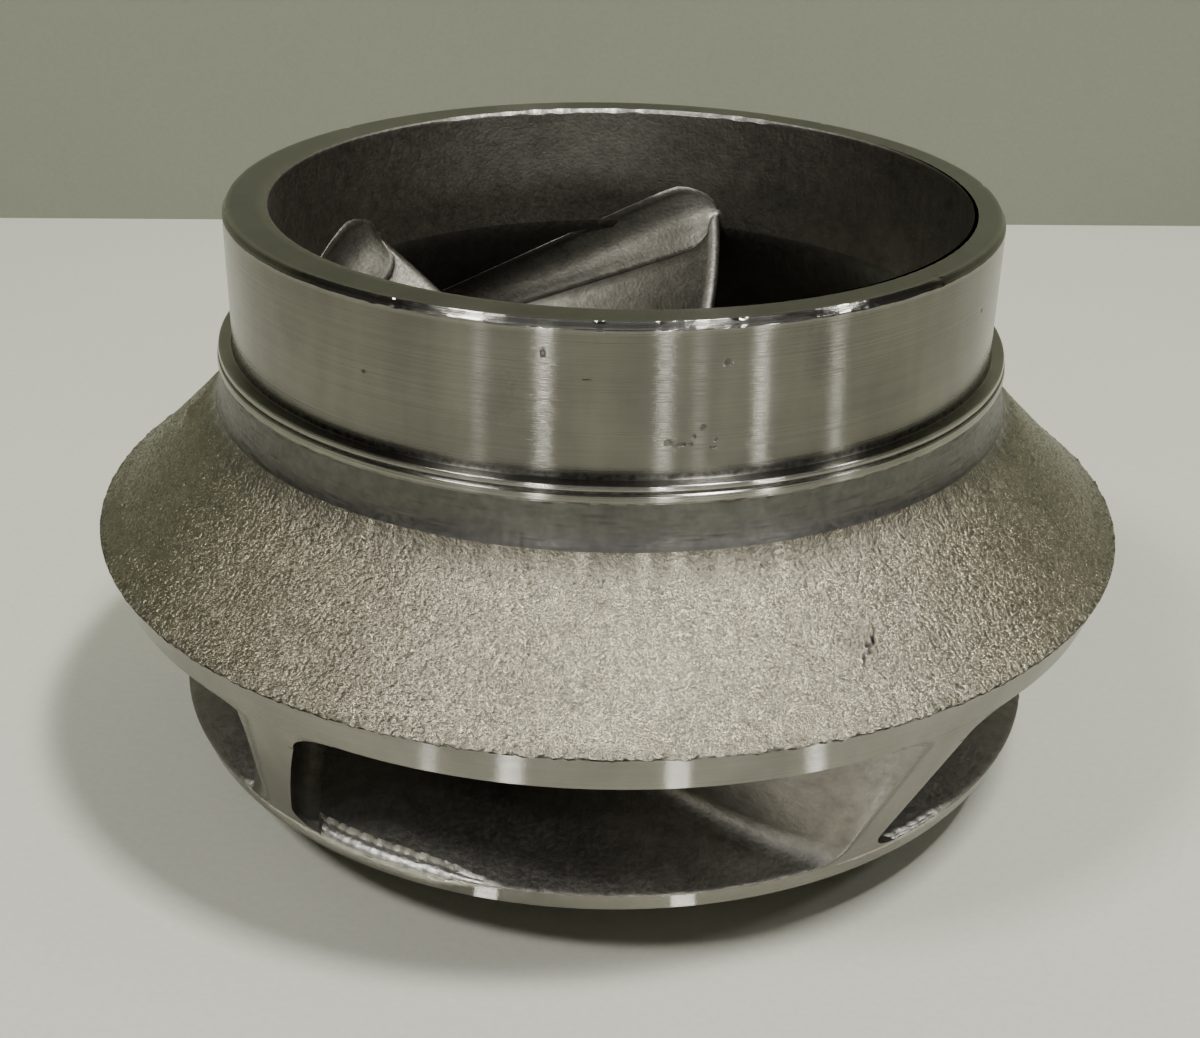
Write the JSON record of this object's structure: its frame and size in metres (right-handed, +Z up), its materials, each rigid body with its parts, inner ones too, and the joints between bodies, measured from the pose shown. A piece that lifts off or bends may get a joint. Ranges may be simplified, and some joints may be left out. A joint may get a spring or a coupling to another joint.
{
  "type": "closed mixed-flow pump impeller",
  "caption": "Closed mixed-flow pump impeller: a tall turned eye ring on a cast conical front shroud, swept vanes, back shroud and a keyed hub.",
  "frame": {"origin": "middle of the hub's foot, on the surface that the impeller stands on", "axes": "+Z up along the shaft axis, out of the eye; -Y towards the side that the picture shows"},
  "size_m": [0.2, 0.2, 0.113],
  "materials": {
    "turned_ring": "turned bright, with pits and stains",
    "cast_shroud": "sand-cast grain, with the exit band machined",
    "cast_vane": "sand-cast, dressed at the edges",
    "turned_hub": "turned"
  },
  "bodies": {
    "root": {"eye_ring": "turned_ring", "front_shroud": "cast_shroud", "vane_1": "cast_vane", "vane_2": "cast_vane", "vane_3": "cast_vane", "vane_4": "cast_vane", "vane_5": "cast_vane", "back_shroud": "cast_shroud", "hub": "turned_hub"}
  },
  "joints": []
}
